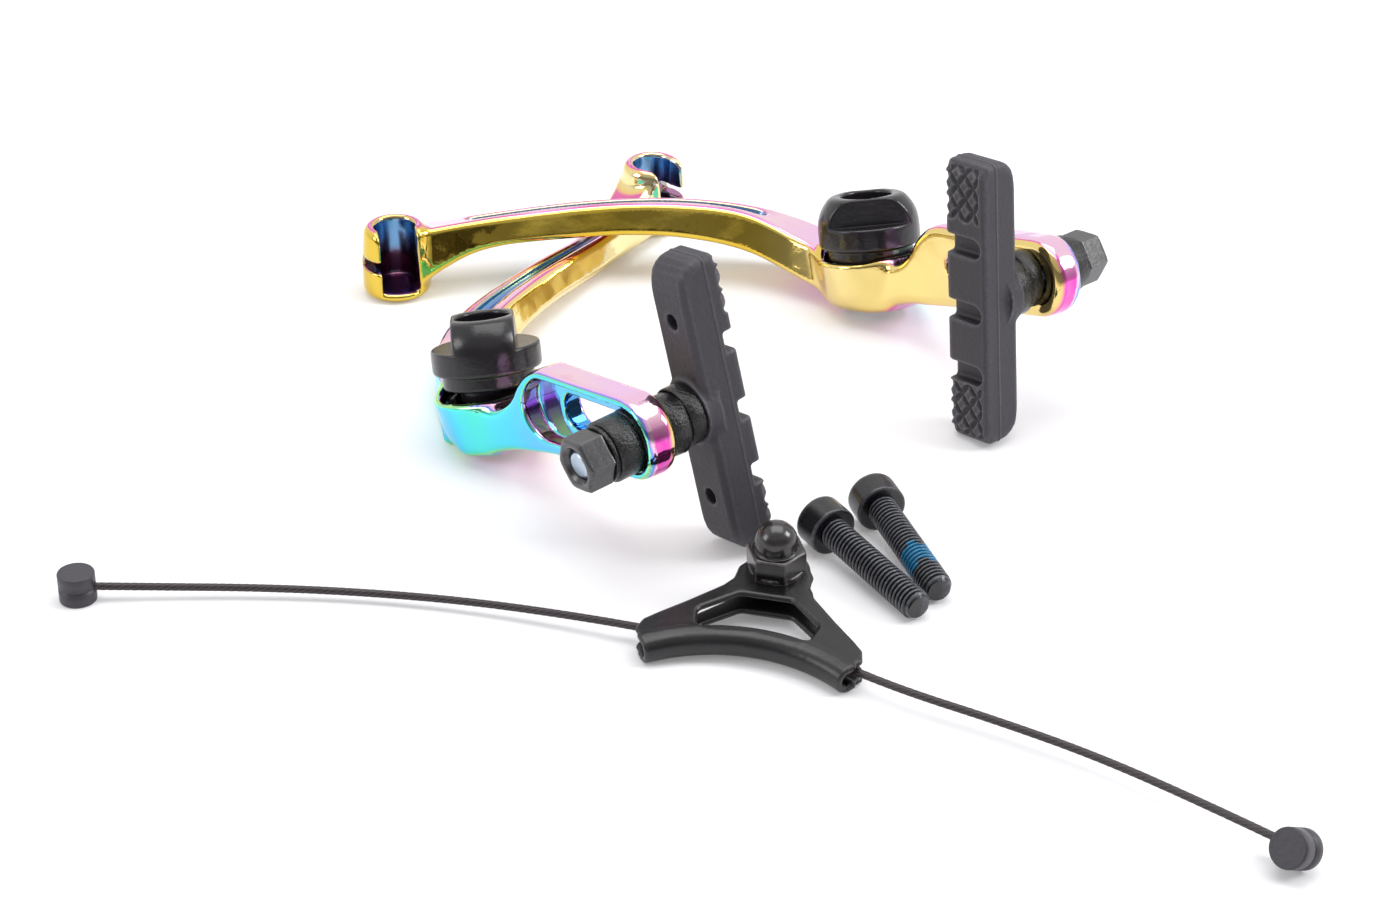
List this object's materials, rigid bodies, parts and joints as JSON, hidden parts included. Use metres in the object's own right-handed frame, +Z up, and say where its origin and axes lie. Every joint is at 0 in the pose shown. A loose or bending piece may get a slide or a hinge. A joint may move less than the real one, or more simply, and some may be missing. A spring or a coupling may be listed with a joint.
{
  "type": "bicycle u-brake",
  "caption": "BMX u-brake laid out as a kit: mirrored forged arms with spring caps, slotted pad mounts and rubber pads, straddle cable with yoke, pivot bolts.",
  "frame": {"origin": "on the floor under the middle of the box round the arms, yoke and bolts", "axes": "+Z up; +Y away from the picture's viewer, over the laid-out arms; +X to the viewer's right"},
  "size_m": [0.2223, 0.2547, 0.0612],
  "materials": {
    "arm": "mirror polish with an oil-slick rainbow film",
    "bush": "satin",
    "spring": "satin",
    "cap": "satin",
    "washer": "rough black",
    "nut": "satin black",
    "stud": "satin",
    "pad": "matte",
    "yoke": "satin black",
    "bolt": "black oxide",
    "dome": "gloss black",
    "barrel": "satin",
    "cable": "black stranded"
  },
  "bodies": {
    "kit": {"left_arm": "arm", "left_pivot_bush": "bush", "left_return_spring": "spring", "right_arm": "arm", "right_pivot_bush": "bush", "right_return_spring": "spring", "yoke": "yoke", "pinch_bolt": "bolt", "lower_clamp_washer": "washer", "upper_clamp_washer": "washer", "dome_nut": "dome", "left_barrel": "barrel", "right_barrel": "barrel", "front_pivot_bolt": "bolt", "back_pivot_bolt": "bolt", "straddle_cable": "cable"},
    "left_cap": {"left_spring_cap": "cap"},
    "left_slider": {"left_inner_dome_washer": "washer", "left_outer_dome_washer": "washer"},
    "left_pad_set": {"left_inner_cup_washer": "washer", "left_outer_cup_washer": "washer", "left_flat_washer": "washer", "left_pad_nut": "nut", "left_pad_stud": "stud", "left_brake_pad": "pad"},
    "right_cap": {"right_spring_cap": "cap"},
    "right_slider": {"right_inner_dome_washer": "washer", "right_outer_dome_washer": "washer"},
    "right_pad_set": {"right_inner_cup_washer": "washer", "right_outer_cup_washer": "washer", "right_flat_washer": "washer", "right_pad_nut": "nut", "right_pad_stud": "stud", "right_brake_pad": "pad"}
  },
  "joints": [
    {"name": "left_cap_turn", "type": "hinge", "parent": "kit", "child": "left_cap", "pos_m": [-0.04814, -0.0053, 0.02225], "axis": [-0.1031, 0.2999, 0.9484], "range_deg": [-45, 90], "stiffness_Nm_per_rad": 0.25},
    {"name": "left_pad_slide", "type": "slide", "parent": "kit", "child": "left_slider", "axis": [-0.5283, 0.8127, -0.2457], "range_m": [0, 0.0239]},
    {"name": "left_pad_swivel", "type": "hinge", "parent": "left_slider", "child": "left_pad_set", "pos_m": [-0.02542, -0.06362, 0.02759], "axis": [0.7909, 0.604, 0.0989], "range_deg": [-30, 30]},
    {"name": "right_cap_turn", "type": "hinge", "parent": "kit", "child": "right_cap", "pos_m": [0.03276, 0.05442, 0.02117], "axis": [-0.0938, 0.2722, 0.9576], "range_deg": [-45, 90], "stiffness_Nm_per_rad": 0.25},
    {"name": "right_pad_slide", "type": "slide", "parent": "kit", "child": "right_slider", "axis": [-0.5609, 0.7803, -0.2768], "range_m": [-0.0022, 0.0215]},
    {"name": "right_pad_swivel", "type": "hinge", "parent": "right_slider", "child": "right_pad_set", "pos_m": [0.07445, 0.01591, 0.02989], "axis": [-0.7475, -0.664, 0.019], "range_deg": [-30, 30]}
  ]
}
